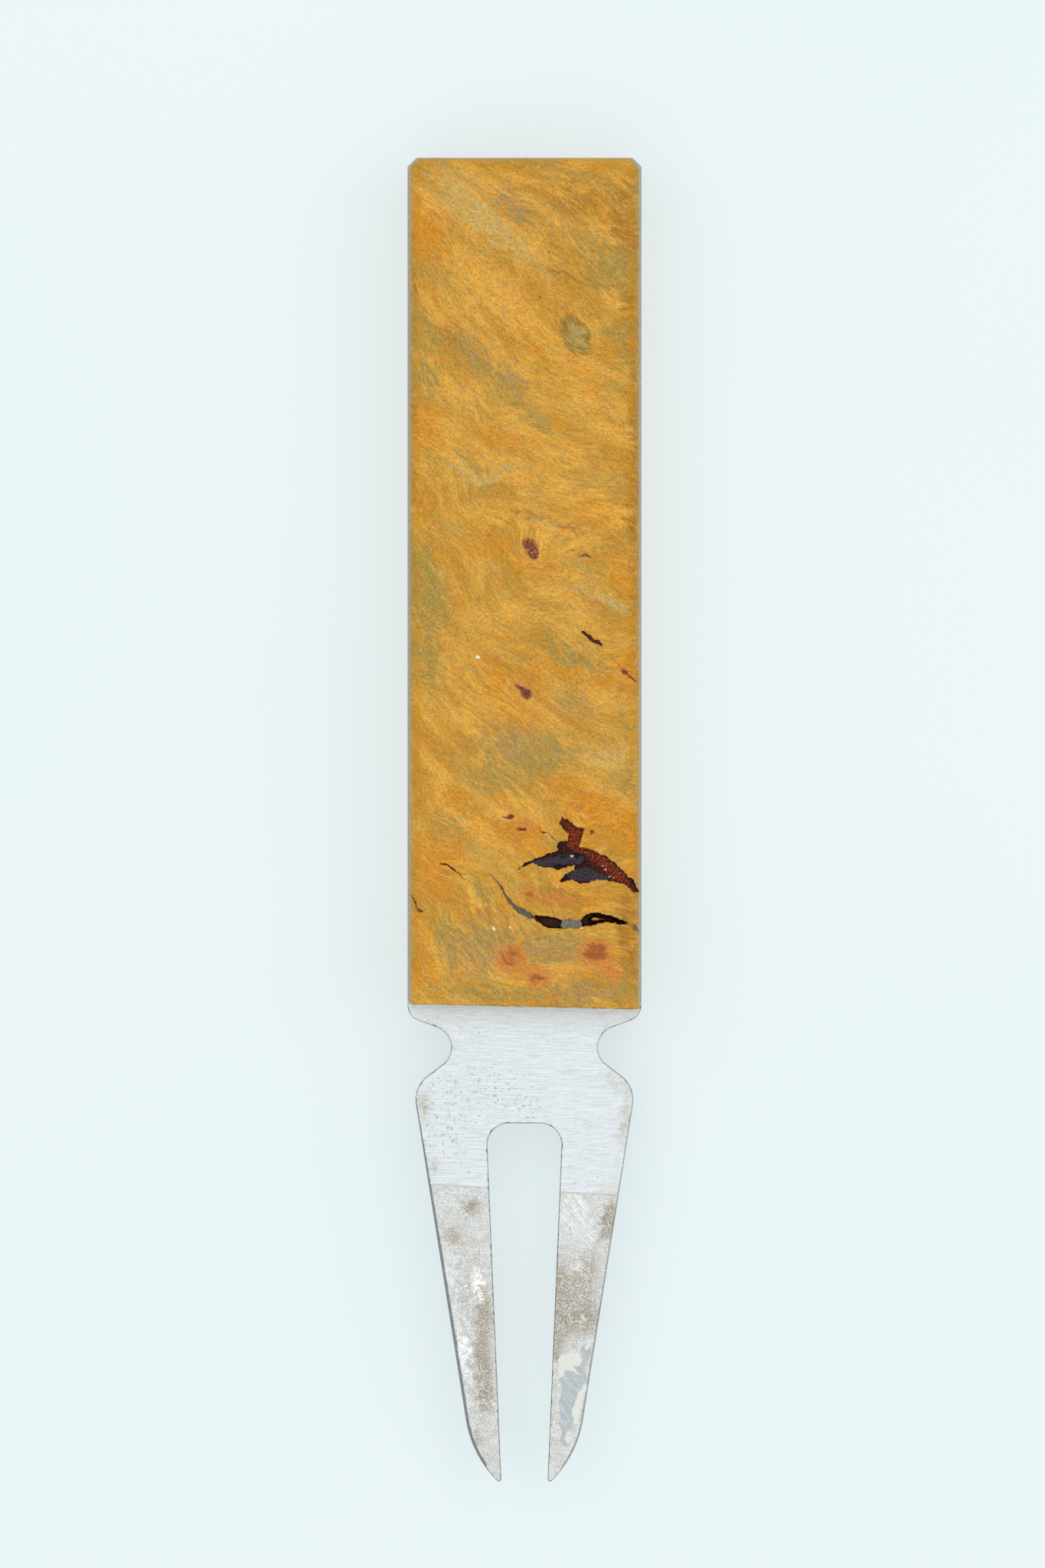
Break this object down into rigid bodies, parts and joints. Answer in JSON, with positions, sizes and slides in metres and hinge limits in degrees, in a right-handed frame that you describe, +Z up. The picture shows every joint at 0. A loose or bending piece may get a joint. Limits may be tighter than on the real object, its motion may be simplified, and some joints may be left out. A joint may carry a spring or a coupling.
{
  "type": "divot repair tool",
  "caption": "Flat two-tined steel fork with a notched neck and a full tang between burl wood scales, for mending ball marks in turf.",
  "frame": {"origin": "middle of the bounding box in X and Y, on the surface that the rear scale lies on", "axes": "+Z up through the front scale, +Y to the butt of the handle, -Y to the tine tips, +X to the right seen from the front"},
  "size_m": [0.019, 0.1079, 0.011],
  "materials": {
    "fork_steel": "ground across the tool, with fine pits and brown stains on the tines",
    "burl_wood": "sanded and oiled amber burl with green-grey bands, eyes and cracks",
    "epoxy": "dark cured glue line",
    "pin_brass": "turned, hidden inside the handle",
    "bark_and_resin": "dark bark set in resin, sanded flush",
    "grey_resin": "dusty grey resin, sanded flush"
  },
  "bodies": {
    "root": {"fork_plate": "fork_steel", "front_scale": "burl_wood", "rear_scale": "burl_wood", "front_epoxy_film": "epoxy", "rear_epoxy_film": "epoxy", "butt_pin": "pin_brass", "neck_pin": "pin_brass", "bark_void_fill": "bark_and_resin", "crack_fill": "grey_resin"}
  },
  "joints": []
}
